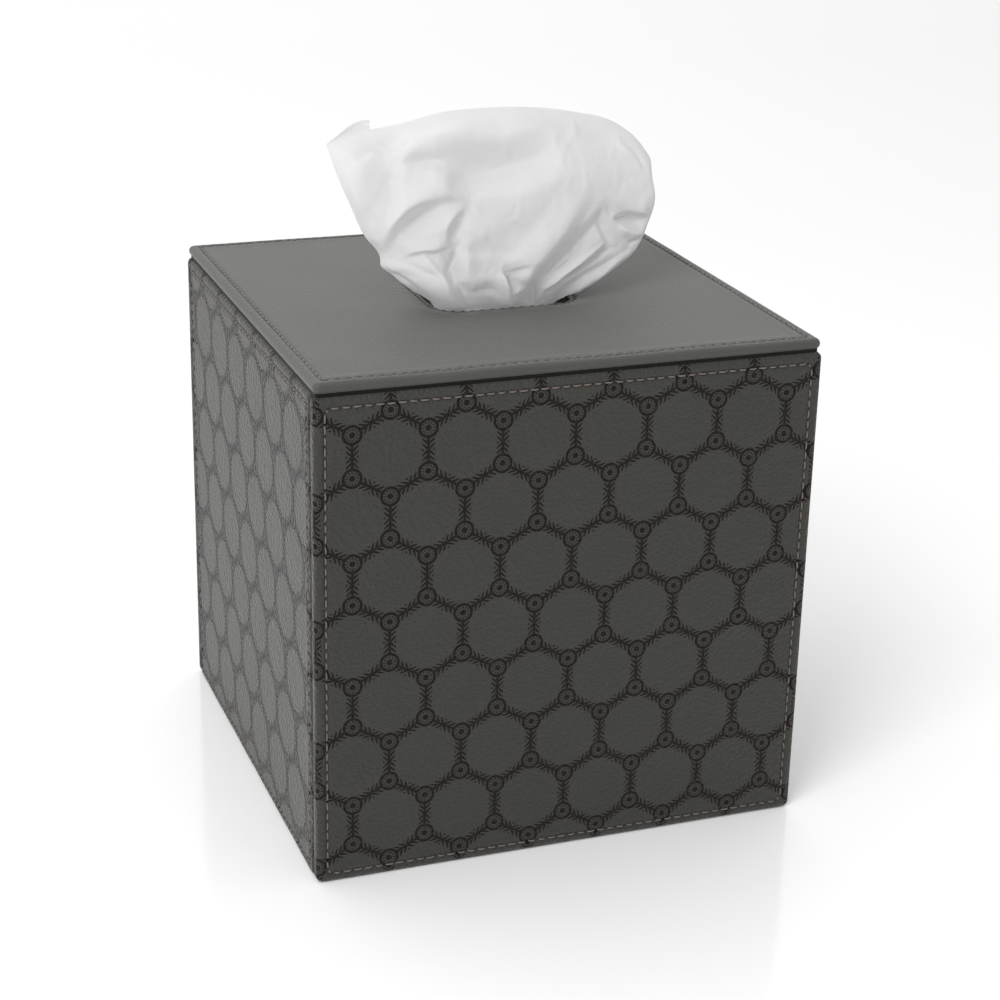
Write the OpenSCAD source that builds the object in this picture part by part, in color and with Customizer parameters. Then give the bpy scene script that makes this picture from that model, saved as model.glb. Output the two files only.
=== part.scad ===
// Cube tissue box cover in stitched leather: four leather-wrapped wall panels
// on a base, a loose lid with a soft-edged opening, and the carton of tissues
// that it hides. Millimetres, Z up, origin at the middle of the base.
// The front wall faces -Y.

/* [Box] */
// Width of the box across the front
box_w = 140; // [120:1:180]
// Depth of the box from front to back
box_d = 140; // [120:1:180]
// Height of the wall panels
wall_h = 136; // [110:1:180]

/* [Wall panels] */
// Thickness of a finished wall panel
panel_t = 3.6; // [3:0.1:6]
// Thickness of the leather that wraps a board
leather_t = 0.7; // [0.5:0.05:1]
// Rounding of a panel's edges
panel_edge_r = 1.2; // [0.8:0.1:1.7]
// Rounding of a panel's four corners, seen from its face
panel_corner_r = 1.7; // [1.7:0.1:5]
// Width of the leather hem turned over onto the inside
hem_w = 12; // [8:0.5:20]
// Thickness of the suede lining sheets
lining_t = 0.6; // [0.4:0.1:1]
// Gap between two lining sheets at an inside corner
lining_gap = 0.1; // [0.05:0.05:0.4]
// Drop from a wall's top edge to the top of its lining
lining_drop = 2.5; // [2:0.1:6]

/* [Stitching] */
// Width of a sewing thread
thread_w = 0.6; // [0.4:0.05:0.9]
// Depth of the channel that a thread lies in
thread_channel = 0.35; // [0.2:0.05:0.4]
// How far a thread stands out of its channel
thread_proud = 0.1; // [0.05:0.05:0.3]
// Side play of a thread in its channel
thread_play = 0.05; // [0.02:0.01:0.1]
// Distance of the seam from the side edges of the front and back walls
front_seam_inset = 3; // [2.5:0.1:8]
// Distance of the seam from the ends of the left and right walls
side_seam_inset = 2.5; // [2.5:0.1:8]
// Distance of the seam below the top edge of a wall
seam_top_inset = 2.8; // [2.5:0.1:8]
// Distance of the seam above the bottom edge of a wall
seam_bottom_inset = 2.4; // [2.2:0.1:8]
// Distance of the seam from the lid's edge
lid_seam_inset = 2.9; // [2.5:0.1:8]
// Distance of the seam from the edge of the opening
mouth_seam_inset = 1.5; // [1.2:0.1:3]
// Rounding of a seam's corners
seam_corner_r = 1.2; // [0.8:0.1:3]

/* [Base] */
// Thickness of the base board
base_board_t = 2.5; // [1.5:0.1:5]
// Thickness of the felt under the base
felt_t = 1; // [0.5:0.1:2]
// Distance of the felt from the inside of the walls
felt_inset = 2; // [1:0.5:8]

/* [Lid] */
// Distance of the lid's edge from the outside of the walls
lid_inset = 0.3; // [0.2:0.1:1.6]
// Thickness of the lid without its lining
lid_t = 2.8; // [2.7:0.1:5]
// Rounding of the lid's edge
lid_edge_r = 1.3; // [0.8:0.1:1.3]
// Rounding of the lid's four corners, seen from above
lid_corner_r = 1.7; // [1.6:0.1:6]
// Thickness of the lid's lining, which lies on the walls
lid_lining_t = 0.8; // [0.4:0.1:1.5]
// Distance of the lining's edge from the lid's edge
lid_lining_inset = 0.6; // [0.3:0.1:0.8]
// Height of the frame that locates the lid between the walls
frame_h = 4; // [3:0.5:10]
// Width of the locating frame's strips
frame_w = 6; // [4:0.5:10]
// Play between the locating frame and the wall linings
frame_gap = 0.5; // [0.3:0.1:1.5]
// Rounding of the locating frame's corners
frame_corner_r = 2; // [1:0.5:5]

/* [Opening] */
// Width of the opening in the lid
mouth_w = 40; // [36:1:60]
// Depth of the opening from front to back
mouth_d = 36; // [32:1:60]
// Rounding of the opening's corners
mouth_r = 7; // [4:0.5:14]
// Offset of the opening to the right of the lid's middle
mouth_x = 1.5; // [-4:0.5:4]
// Offset of the opening behind the lid's middle
mouth_y = 2.4; // [-4:0.1:4]
// Width of the soft leather between the board and the opening
mouth_soft_w = 7; // [4:0.5:9]
// How far the soft leather dips at the opening
mouth_dip = 1; // [0.4:0.1:1.3]

/* [Carton of tissues] */
// Room between the carton and the wall linings
carton_gap = 8.3; // [2:0.1:10]
// Room between the carton and the lid's locating frame
carton_headroom = 4; // [1:0.5:12]
// Thickness of the carton's board
carton_t = 0.6; // [0.4:0.1:1]
// Width of the slot in the carton's top
slot_w = 70; // [60:1:90]
// Depth of the slot in the carton's top
slot_d = 46; // [44:1:80]
// Rounding of the slot's corners
slot_r = 15; // [5:1:20]
// Room between the stack of tissues and the carton
stack_gap = 1.5; // [0.5:0.5:4]
// Free height above the stack of tissues
stack_headroom = 16; // [8:1:24]
// Rounding of the stack's folded edges
stack_fold_r = 2; // [1:0.5:5]

/* [Tissue] */
// Width of the drawn tissue's ridge
tissue_w = 96; // [70:1:120]
// Height of the drawn tissue above the lid
tissue_h = 51.1; // [35:0.1:70]
// Offset of the ridge's middle to the right of the lid's middle
tissue_x = 2; // [-5:0.5:8]
// Swell of the tissue towards the front
front_swell = 18; // [8:1:30]
// Swell of the tissue towards the back
back_swell = 16; // [8:1:30]
// Drop of the ridge at its left tip
left_drop = 6; // [2:0.5:14]
// Drop of the ridge at its right end
right_drop = 24; // [10:1:28]
// Depth of the gathered neck from front to back
neck_d = 21; // [14:0.5:24]
// Play between the neck and the sides of the opening
neck_side_gap = 4.5; // [3:0.5:8]
// Play between the neck and the front of the opening
neck_front_gap = 1.4; // [1:0.1:5]
// Height of the neck above the lid
neck_rise = 1.6; // [1:0.1:6]
// Thickness of the folded ridge
ridge_t = 2.4; // [1:0.1:5]
// Play between the tissue's tail and the stack
tail_gap = 0.3; // [0.2:0.1:1]

/* [Hidden] */

overrun = 2;
round_fn = 48;

// Wall panels
side_panel_w = box_d - 2 * panel_t;
panel_board_t = panel_t - 2 * leather_t;
inside_w = box_w - 2 * (panel_t + lining_t);
inside_d = box_d - 2 * (panel_t + lining_t);

// Base
base_board_top = felt_t + base_board_t;
floor_z = base_board_top + lining_t;
lining_h = wall_h - lining_drop - floor_z;

// Lid
lid_w = box_w - 2 * lid_inset;
lid_d = box_d - 2 * lid_inset;
lid_z = wall_h + lid_lining_t;
lid_top = lid_z + lid_t;
lid_board_t = lid_t - 2 * leather_t;
lid_lining_w = lid_w - 2 * lid_lining_inset;
lid_lining_d = lid_d - 2 * lid_lining_inset;
frame_out_w = inside_w - 2 * frame_gap;
frame_out_d = inside_d - 2 * frame_gap;
mouth_edge_z = lid_top - mouth_dip;

// Carton and stack
carton_w = inside_w - 2 * carton_gap;
carton_d = inside_d - 2 * carton_gap;
carton_h = wall_h - frame_h - carton_headroom - floor_z;
stack_w = carton_w - 2 * (carton_t + stack_gap);
stack_d = carton_d - 2 * (carton_t + stack_gap);
stack_z = floor_z + carton_t;
stack_top = floor_z + carton_h - carton_t - stack_headroom;

// Tissue: angle 0 is its right end, 270 its front
ring_points = 48;
tail_rings = 4;
puff_rings = 20;
pleats = 8;
tail_share = 0.62;
neck_pleat_share = 0.14;
puff_pleat_share = 0.22;
band_share = 0.3;
band_height_power = 3;
climb_power = 1.5;
right_flare_power = 3;
left_flare_power = 0.55;
swell_height_power = 0.85;
ridge_y = mouth_y - mouth_dip;
neck_w = mouth_w - 2 * neck_side_gap;
neck_y = mouth_y - mouth_d / 2 + neck_front_gap + neck_d / 2;
neck_z = lid_top + neck_rise;
tail_z = stack_top + tail_gap;
ridge_z = lid_top + tissue_h;

// Rectangle with round corners, about the origin
module rounded_rect(w, d, r) {
    square([w - 2 * r, d], center = true);
    square([w, d - 2 * r], center = true);
    for (x = [-1, 1], y = [-1, 1])
        translate([x * (w / 2 - r), y * (d / 2 - r)]) circle(r, $fn = round_fn);
}

// Closed band of width t along a rounded rectangle of middle size w by d
module rounded_band(w, d, r, t) {
    difference() {
        rounded_rect(w + t, d + t, r + t / 2);
        rounded_rect(w - t, d - t, r - t / 2);
    }
}

// Slab w by t by h with round edges, standing on z = 0 with its outer face on y = 0
module rounded_slab(w, t, h, edge_r, corner_r) {
    intersection() {
        translate([0, t / 2, 0]) linear_extrude(height = h) rounded_rect(w, t, edge_r);
        translate([-w / 2, t / 2, h / 2]) rotate([90, 0, 90])
            linear_extrude(height = w) rounded_rect(t, h, edge_r);
        translate([0, t, h / 2]) rotate([90, 0, 0])
            linear_extrude(height = t) rounded_rect(w, h, corner_r);
    }
}

// Places a wall's pieces, which are drawn as the front wall is with y = 0 outside
module at_front() { translate([0, -box_d / 2, 0]) children(); }
module at_back() { rotate([0, 0, 180]) translate([0, -box_d / 2, 0]) children(); }
module at_left() { rotate([0, 0, -90]) translate([0, -box_w / 2, 0]) children(); }
module at_right() { rotate([0, 0, 90]) translate([0, -box_w / 2, 0]) children(); }

// Stiff board inside a wall of width w
module wall_board(w) {
    color("tan")
        translate([leather_t - w / 2, leather_t, leather_t])
            cube([w - 2 * leather_t, panel_board_t, wall_h - 2 * leather_t]);
}

// Outline of a wall's seam, standing behind y = 0 from depth y0 to y1
module wall_seam(w, inset, t, y0, y1) {
    seam_h = wall_h - seam_top_inset - seam_bottom_inset;
    translate([0, y1, seam_bottom_inset + seam_h / 2]) rotate([90, 0, 0])
        linear_extrude(height = y1 - y0) rounded_band(w - 2 * inset, seam_h, seam_corner_r, t);
}

// Leather wrapped round a wall's board, with a window inside its turned hem
module wall_leather(w, inset) {
    color("dimgray")
        difference() {
            rounded_slab(w, panel_t, wall_h, panel_edge_r, panel_corner_r);
            translate([leather_t - w / 2, leather_t, leather_t])
                cube([w - 2 * leather_t, panel_board_t, wall_h - 2 * leather_t]);
            translate([hem_w - w / 2, panel_t - leather_t - overrun / 2, hem_w])
                cube([w - 2 * hem_w, leather_t + overrun, wall_h - 2 * hem_w]);
            wall_seam(w, inset, thread_w + 2 * thread_play, -overrun, thread_channel);
        }
}

// Suede sheet inside a wall of width w, with a step that fills the hem's window
module wall_lining(w, sheet_w) {
    color("darkslategray") {
        translate([hem_w - w / 2, panel_t - leather_t, hem_w])
            cube([w - 2 * hem_w, leather_t, wall_h - 2 * hem_w]);
        translate([-sheet_w / 2, panel_t, floor_z])
            cube([sheet_w, lining_t, lining_h]);
    }
}

// Sewing thread of a wall's seam
module wall_thread(w, inset) {
    color("rosybrown") wall_seam(w, inset, thread_w, -thread_proud, thread_channel);
}

// Board that closes the box below
module base_board() {
    color("tan")
        translate([-inside_w / 2 - lining_t, -inside_d / 2 - lining_t, felt_t])
            cube([inside_w + 2 * lining_t, inside_d + 2 * lining_t, base_board_t]);
}

// Felt that the box stands on
module base_felt() {
    color("black")
        translate([felt_inset - inside_w / 2, felt_inset - inside_d / 2, 0])
            cube([inside_w - 2 * felt_inset, inside_d - 2 * felt_inset, felt_t]);
}

// Suede sheet on the floor of the box
module floor_lining() {
    color("darkslategray")
        translate([-inside_w / 2 - lining_t, -inside_d / 2 - lining_t, base_board_top])
            cube([inside_w + 2 * lining_t, inside_d + 2 * lining_t, lining_t]);
}

// Outline of the opening, grown by a margin all round
module mouth_outline(margin) {
    translate([mouth_x, mouth_y])
        rounded_rect(mouth_w + 2 * margin, mouth_d + 2 * margin, mouth_r + margin);
}

// Board inside the lid, with a hole wider than the opening
module lid_board() {
    color("tan")
        translate([0, 0, lid_z + leather_t]) linear_extrude(height = lid_board_t)
            difference() {
                rounded_rect(lid_w - 2 * leather_t, lid_d - 2 * leather_t, lid_corner_r - leather_t);
                mouth_outline(mouth_soft_w);
            }
}

// Slab of the lid with round edges and corners
module lid_slab() {
    intersection() {
        translate([0, 0, lid_z]) linear_extrude(height = lid_t)
            rounded_rect(lid_w, lid_d, lid_corner_r);
        translate([-lid_w / 2, 0, lid_z + lid_t / 2]) rotate([90, 0, 90])
            linear_extrude(height = lid_w) rounded_rect(lid_d, lid_t, lid_edge_r);
        translate([0, lid_d / 2, lid_z + lid_t / 2]) rotate([90, 0, 0])
            linear_extrude(height = lid_d) rounded_rect(lid_w, lid_t, lid_edge_r);
    }
}

// Leather round the lid's board, dipping softly into the opening
module lid_leather() {
    color("gray")
        difference() {
            lid_slab();
            lid_board();
            translate([0, 0, lid_z - overrun]) linear_extrude(height = leather_t + overrun)
                square([lid_w - 2 * hem_w, lid_d - 2 * hem_w], center = true);
            translate([0, 0, lid_z - overrun]) linear_extrude(height = lid_t + 2 * overrun)
                mouth_outline(0);
            hull() {
                translate([0, 0, mouth_edge_z]) linear_extrude(height = leather_t) mouth_outline(0);
                translate([0, 0, lid_top]) linear_extrude(height = leather_t)
                    mouth_outline(mouth_soft_w);
            }
            seam_channel(lid_top - thread_channel);
            mouth_channel();
        }
}

// Suede under the lid, which lies on the walls, with a step that fills the hem's window
module lid_lining() {
    color("darkslategray")
        difference() {
            union() {
                translate([0, 0, wall_h]) linear_extrude(height = lid_lining_t)
                    rounded_rect(lid_lining_w, lid_lining_d, lid_corner_r - lid_lining_inset);
                translate([0, 0, lid_z]) linear_extrude(height = leather_t)
                    square([lid_w - 2 * hem_w, lid_d - 2 * hem_w], center = true);
            }
            translate([0, 0, wall_h - overrun])
                linear_extrude(height = lid_lining_t + leather_t + 2 * overrun) mouth_outline(0);
        }
}

// Frame of card strips that drops between the walls
module lid_locating_frame() {
    color("slategray")
        translate([0, 0, wall_h - frame_h]) linear_extrude(height = frame_h)
            difference() {
                rounded_rect(frame_out_w, frame_out_d, frame_corner_r);
                square([frame_out_w - 2 * frame_w, frame_out_d - 2 * frame_w], center = true);
            }
}

// Channel of the lid's edge seam, down to height z
module seam_channel(z) {
    translate([0, 0, z]) linear_extrude(height = thread_channel + overrun)
        rounded_band(lid_w - 2 * lid_seam_inset, lid_d - 2 * lid_seam_inset,
            seam_corner_r, thread_w + 2 * thread_play);
}

// Channel of the opening's seam, cut level into the dipping leather
module mouth_channel() {
    translate([mouth_x, mouth_y, mouth_edge_z - thread_channel / 2])
        linear_extrude(height = overrun)
            rounded_band(mouth_w + 2 * mouth_seam_inset, mouth_d + 2 * mouth_seam_inset,
                mouth_r + mouth_seam_inset, thread_w + 2 * thread_play);
}

// Thread of the lid's edge seam
module lid_edge_thread() {
    color("rosybrown")
        translate([0, 0, lid_top - thread_channel])
            linear_extrude(height = thread_channel + thread_proud)
                rounded_band(lid_w - 2 * lid_seam_inset, lid_d - 2 * lid_seam_inset,
                    seam_corner_r, thread_w);
}

// Thread of the seam round the opening
module lid_opening_thread() {
    color("rosybrown")
        translate([mouth_x, mouth_y, mouth_edge_z - thread_channel / 2])
            linear_extrude(height = thread_channel + thread_proud)
                rounded_band(mouth_w + 2 * mouth_seam_inset, mouth_d + 2 * mouth_seam_inset,
                    mouth_r + mouth_seam_inset, thread_w);
}

// Folded cardboard box of the refill, with a slot in its top
module refill_carton() {
    color("gainsboro")
        difference() {
            translate([-carton_w / 2, -carton_d / 2, floor_z]) cube([carton_w, carton_d, carton_h]);
            translate([carton_t - carton_w / 2, carton_t - carton_d / 2, floor_z + carton_t])
                cube([carton_w - 2 * carton_t, carton_d - 2 * carton_t, carton_h - 2 * carton_t]);
            translate([0, 0, floor_z + carton_h - overrun])
                linear_extrude(height = 2 * overrun) rounded_rect(slot_w, slot_d, slot_r);
        }
}

// Interleaved tissues waiting in the carton
module tissue_stack() {
    color("white")
        translate([-stack_w / 2, 0, (stack_z + stack_top) / 2]) rotate([90, 0, 90])
            linear_extrude(height = stack_w)
                rounded_rect(stack_d, stack_top - stack_z, stack_fold_r);
}

// Point of the tissue's folded ridge at angle a
function ridge_point(a) = [
    tissue_x + tissue_w / 2 * cos(a),
    ridge_y + ridge_t / 2 * sin(a),
    ridge_z - (cos(a) < 0 ? left_drop * pow(cos(a), 2) : right_drop * pow(cos(a), 4))
];

// Pleat factor at angle a, for folds of the given share
function pleat(a, share) = 1 + share * cos(pleats * a);

// Point of the gathered neck at angle a, with its size multiplied by k
function neck_point(a, k) = [
    mouth_x + k * neck_w / 2 * cos(a) * pleat(a, neck_pleat_share) / (1 + neck_pleat_share),
    neck_y + k * neck_d / 2 * sin(a) * pleat(a, neck_pleat_share) / (1 + neck_pleat_share)
];

// Point of the tail, s running from 0 at its end to 1 at the neck
function tail_point(a, s) = concat(
    neck_point(a, tail_share + (1 - tail_share) * s), tail_z + (neck_z - tail_z) * s);

// Point of the puff, s running from 0 at the neck to 1 at the ridge
function puff_point(a, s) =
    let (low = neck_point(a, 1),
        top = ridge_point(a),
        right = (1 + cos(a)) / 2,
        right_spread = 1 - pow(1 - s, right_flare_power),
        left_spread = pow(s, left_flare_power),
        spread = right_spread * right + left_spread * (1 - right),
        band = 1 - band_share * pow(sin(180 * pow(s, band_height_power)), 2),
        swell = (sin(a) < 0 ? front_swell : back_swell) * sin(180 * pow(s, swell_height_power))
            * band * pleat(a, puff_pleat_share * (1 - s)))
    [low[0] + (top[0] - low[0]) * spread,
        low[1] + (top[1] - low[1]) * s + swell * sin(a),
        neck_z + (top[2] - neck_z) * pow(s, climb_power)];

// The tissue drawn through the opening: tail, gathered neck and swelling puff
module tissue_sheet() {
    angles = [for (i = [0 : ring_points - 1]) 360 * i / ring_points];
    points = concat(
        [for (j = [0 : tail_rings - 1], a = angles) tail_point(a, j / tail_rings)],
        [for (j = [0 : puff_rings], a = angles) puff_point(a, j / puff_rings)],
        [[mouth_x, neck_y, tail_z]]);
    rings = tail_rings + puff_rings + 1;
    last = (rings - 1) * ring_points;
    sides = [for (j = [0 : rings - 2], i = [0 : ring_points - 1], half = [0, 1])
        let (i2 = (i + 1) % ring_points, a = j * ring_points, b = a + ring_points)
        half == 0 ? [a + i, b + i, b + i2] : [a + i, b + i2, a + i2]];
    end_cap = [for (i = [0 : ring_points - 1])
        [i, (i + 1) % ring_points, rings * ring_points]];
    ridge_cap = [for (i = [0 : ring_points / 2 - 1], half = [0, 1])
        let (i2 = i + 1, k = (ring_points - i) % ring_points, k2 = ring_points - i2)
        if (half == 0 ? i > 0 : i2 < ring_points / 2)
            half == 0 ? [last + i, last + k, last + i2] : [last + i2, last + k, last + k2]];
    color("white") polyhedron(points = points, faces = concat(sides, end_cap, ridge_cap));
}

at_front() wall_board(box_w);  // front_panel_board
at_front() wall_leather(box_w, front_seam_inset);  // front_panel_leather
at_front() wall_lining(box_w, inside_w - 2 * lining_gap);  // front_panel_lining
at_front() wall_thread(box_w, front_seam_inset);  // front_panel_thread
at_back() wall_board(box_w);  // back_panel_board
at_back() wall_leather(box_w, front_seam_inset);  // back_panel_leather
at_back() wall_lining(box_w, inside_w - 2 * lining_gap);  // back_panel_lining
at_back() wall_thread(box_w, front_seam_inset);  // back_panel_thread
at_left() wall_board(side_panel_w);  // left_panel_board
at_left() wall_leather(side_panel_w, side_seam_inset);  // left_panel_leather
at_left() wall_lining(side_panel_w, side_panel_w);  // left_panel_lining
at_left() wall_thread(side_panel_w, side_seam_inset);  // left_panel_thread
at_right() wall_board(side_panel_w);  // right_panel_board
at_right() wall_leather(side_panel_w, side_seam_inset);  // right_panel_leather
at_right() wall_lining(side_panel_w, side_panel_w);  // right_panel_lining
at_right() wall_thread(side_panel_w, side_seam_inset);  // right_panel_thread
base_board();
base_felt();
floor_lining();
lid_board();
lid_leather();
lid_lining();
lid_locating_frame();
lid_edge_thread();
lid_opening_thread();
refill_carton();
tissue_stack();
tissue_sheet();
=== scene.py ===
"""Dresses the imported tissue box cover: printed leather, stitches, suede, card and the drawn tissue."""
import math

import bmesh
import bpy
import numpy as np
from mathutils import Matrix, Vector

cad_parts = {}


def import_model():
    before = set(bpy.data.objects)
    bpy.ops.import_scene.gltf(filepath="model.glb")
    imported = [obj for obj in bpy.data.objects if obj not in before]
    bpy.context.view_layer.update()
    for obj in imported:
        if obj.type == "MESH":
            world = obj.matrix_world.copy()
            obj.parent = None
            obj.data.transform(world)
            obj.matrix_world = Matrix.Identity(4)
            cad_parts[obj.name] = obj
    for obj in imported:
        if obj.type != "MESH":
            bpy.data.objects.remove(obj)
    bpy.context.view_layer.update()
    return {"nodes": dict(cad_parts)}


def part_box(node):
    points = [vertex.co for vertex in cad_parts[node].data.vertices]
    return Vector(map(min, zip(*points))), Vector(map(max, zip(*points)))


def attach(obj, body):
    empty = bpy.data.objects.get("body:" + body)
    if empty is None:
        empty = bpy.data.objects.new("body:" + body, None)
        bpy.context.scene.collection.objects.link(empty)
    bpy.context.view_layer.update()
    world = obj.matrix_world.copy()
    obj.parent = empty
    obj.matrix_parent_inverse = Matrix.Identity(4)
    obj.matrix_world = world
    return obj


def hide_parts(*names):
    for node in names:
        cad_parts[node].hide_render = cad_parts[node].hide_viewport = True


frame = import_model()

MM = 0.001

# Leather panels
EDGE_R = 1.2 * MM
CORNER_R = 1.7 * MM
LEATHER_T = 0.7 * MM
HEM_W = 12 * MM
FACE_BAND = 7.2 * MM
CORNER_STEPS = 6
BEND = np.radians(np.linspace(0, 90, 6))
RING_STEP = 0.3 * MM
WAVE_COUNT = 7

# Sewing
STITCH_PITCH = 2.9 * MM
STEPS_PER_STITCH = 6
SEAM_CORNER_R = 1.2 * MM
PACKED_THREAD_R = 0.3 * MM
STITCH_RINGS = 9
STITCH_SIDES = 8
THREAD_R = 0.23 * MM
THREAD_LIFT = 0.07 * MM
THREAD_DIVE = 0.34 * MM
NEEDLE_GAP = 0.42 * MM
CHANNEL_DEPTH = 0.34 * MM
CHANNEL_W = 0.5 * MM
NEEDLE_DEPTH = 0.45 * MM
NEEDLE_W = 0.42 * MM
EDGE_SWELL = 0.12 * MM

# Lid
LID_EDGE_R = 1.3 * MM
LID_CORNER_R = 1.7 * MM
MOUTH_R = 7 * MM
MOUTH_SOFT_W = 7 * MM
MOUTH_DIP = 1 * MM
MOUTH_DIP_CURVE = 1.35
MOUTH_LIP_R = 0.65 * MM
MOUTH_SEAM = 1.5 * MM

# Print: sprigs of leaves along a honeycomb, and a ringed dot with rays at each of its corners
PRINT_PITCH = 20 * MM
PRINT_SOFT = 0.09 * MM
STEM_HALF_W = 0.3 * MM
LEAF_PITCH = 1.4 * MM
LEAF_HALF_T = 0.62 * MM
LEAF_TIP = 1.75 * MM
LEAF_SLANT = 0.95
LEAF_TAPER = 0.2
SPRIG_HALF_LENGTH = 3.1 * MM
DOT_R = 0.9 * MM
RAYS = 12
RAYS_INNER_R = 1.1 * MM
RAYS_OUTER_R = 1.85 * MM
RING_R = 2.35 * MM
RING_HALF_W = 0.36 * MM

# Looks of the leather, thread and paper
INK = (0.0075, 0.0045, 0.0035, 1)
LEATHER_GLOSS = 0.27
INK_GLOSS_LOSS = 0.19
PEBBLE_SMOOTHNESS = 0.35
PLY_PITCH = 0.55 * MM
PAPER_TRANSLUCENCY = 0.42

# Camera, fitted to the photograph's frame: millimetres and degrees
FRAME_PX = 1000
CAMERA_AT = np.array([-209.3, -575.8, 312.4])
CAMERA_AZIMUTH = 20.47
CAMERA_DROP = 21.09
CAMERA_ROLL = 1.33
CAMERA_LENS = 81.02
CAMERA_SENSOR = 36

# Light
SURROUND_FRONT = 0.62
SURROUND_BACK = 1.12
SURROUND_TOP = 0.25
SURROUND_RIGHT_LOSS = 0.3
KEY_POWER = 10
KEY_AT = (-0.75, -0.7, 0.95)
KEY_SIZE = 0.6
KEY_AIM = (0, 0, 0.08)
FLOOR_REACH = 6
FLOOR_DROP = 0.2 * MM


def node_size(node):
    """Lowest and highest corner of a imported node, as arrays."""
    low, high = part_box(node)
    return np.array(low), np.array(high)


# Node trees
class Field:
    """A number or vector at each point of a surface, worked out by its material's nodes."""

    def __init__(self, tree, socket):
        self.tree = tree
        self.socket = socket

    def __add__(self, other):
        return calc("ADD", self, other)

    __radd__ = __add__

    def __sub__(self, other):
        return calc("SUBTRACT", self, other)

    def __rsub__(self, other):
        return calc("SUBTRACT", other, self)

    def __mul__(self, other):
        return calc("MULTIPLY", self, other)

    __rmul__ = __mul__


def put(tree, value, socket):
    """Feeds a socket with a field, or sets it to a plain value."""
    if isinstance(value, Field):
        tree.links.new(value.socket, socket)
    else:
        socket.default_value = value


def node_field(tree, kind, inputs, output=0, **settings):
    """What a new node puts out, with its settings made and its inputs fed."""
    node = tree.nodes.new(f"ShaderNode{kind}")
    for name, value in settings.items():
        setattr(node, name, value)
    for key, value in inputs.items():
        put(tree, value, node.inputs[key])
    return Field(tree, node.outputs[output])


def calc(operation, *values):
    """The result of one Math node."""
    tree = next(v.tree for v in values if isinstance(v, Field))
    return node_field(tree, "Math", dict(enumerate(values)), operation=operation)


def ramp(value, start, end):
    """A smooth step from 0 at start to 1 at end."""
    to_min, to_max = (0, 1) if start < end else (1, 0)
    inputs = {"Value": value, "From Min": min(start, end), "From Max": max(start, end),
              "To Min": to_min, "To Max": to_max}
    return node_field(value.tree, "MapRange", inputs, "Result", interpolation_type="SMOOTHSTEP")


def mixed(amount, first, second):
    """A colour between two, first at amount 0, by the sockets that a Mix node has for colours."""
    return node_field(amount.tree, "Mix", {0: amount, 6: first, 7: second}, 2, data_type="RGBA")


def place(tree, attribute=None):
    """Where a point is: in its own piece, or on the flat sheet that an attribute gives."""
    if attribute is None:
        return node_field(tree, "TexCoord", {}, "Object")
    return node_field(tree, "Attribute", {}, "Vector", attribute_name=attribute)


def parts(vector):
    """The x, y and z of a vector field."""
    node = vector.tree.nodes.new("ShaderNodeSeparateXYZ")
    put(vector.tree, vector, node.inputs[0])
    return [Field(vector.tree, output) for output in node.outputs]


def scaled(vector, factors):
    """A vector field with its axes multiplied."""
    return node_field(vector.tree, "VectorMath", {0: vector, 1: factors}, operation="MULTIPLY")


def noise(vector, size, detail=2.0, rough=0.5, warp=0.0):
    """Soft noise from 0 to 1 with features of the given size."""
    inputs = {"Vector": vector, "Scale": 1 / size, "Detail": detail, "Roughness": rough, "Distortion": warp}
    return node_field(vector.tree, "TexNoise", inputs)


def pebbles(vector, size):
    """Distance from the middle of the nearest pebble, about 0 to 1."""
    inputs = {"Vector": vector, "Scale": 1 / size, "Smoothness": PEBBLE_SMOOTHNESS}
    return node_field(vector.tree, "TexVoronoi", inputs, "Distance", feature="SMOOTH_F1")


def bump(height, depth):
    """A normal tilted by a height field, whose 0 to 1 is depth metres."""
    return node_field(height.tree, "Bump", {"Height": height, "Strength": 1, "Distance": depth})


def new_material(name):
    """An empty material with a Principled shader: (material, its tree, the shader)."""
    material = bpy.data.materials.new(name)
    material.use_nodes = True
    tree = material.node_tree
    return material, tree, tree.nodes["Principled BSDF"]


def settle(shader, **values):
    """Feeds or sets inputs of a shader, named as they are, with _ for a space."""
    for name, value in values.items():
        put(shader.id_data, value, shader.inputs[name.replace("_", " ")])


def shade(colour, factor):
    """A colour made darker or lighter, with its alpha."""
    return (*(min(1, c * factor) for c in colour), 1)


# Materials
def honeycomb(x, y):
    """(distance from the nearest cell wall, distance along that wall from its middle)."""
    row = PRINT_PITCH * math.sqrt(3)
    cells = []
    for shift in (0, 0.5):
        cx = calc("ABSOLUTE", calc("WRAP", x - shift * PRINT_PITCH, PRINT_PITCH / 2, -PRINT_PITCH / 2))
        cy = calc("ABSOLUTE", calc("WRAP", y - shift * row, row / 2, -row / 2))
        cells.append((cx, cy, cx * cx + cy * cy))
    (ax, ay, a2), (bx, by, b2) = cells
    first = calc("LESS_THAN", a2, b2)
    qx = bx + (ax - bx) * first
    qy = by + (ay - by) * first
    upright = PRINT_PITCH / 2 - qx
    slanted = PRINT_PITCH / 2 - (qx * 0.5 + qy * (math.sqrt(3) / 2))
    on_upright = calc("LESS_THAN", upright, slanted)
    along = calc("ABSOLUTE", qy * 0.5 - qx * (math.sqrt(3) / 2))
    return calc("MINIMUM", upright, slanted), along + (qy - along) * on_upright


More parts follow.
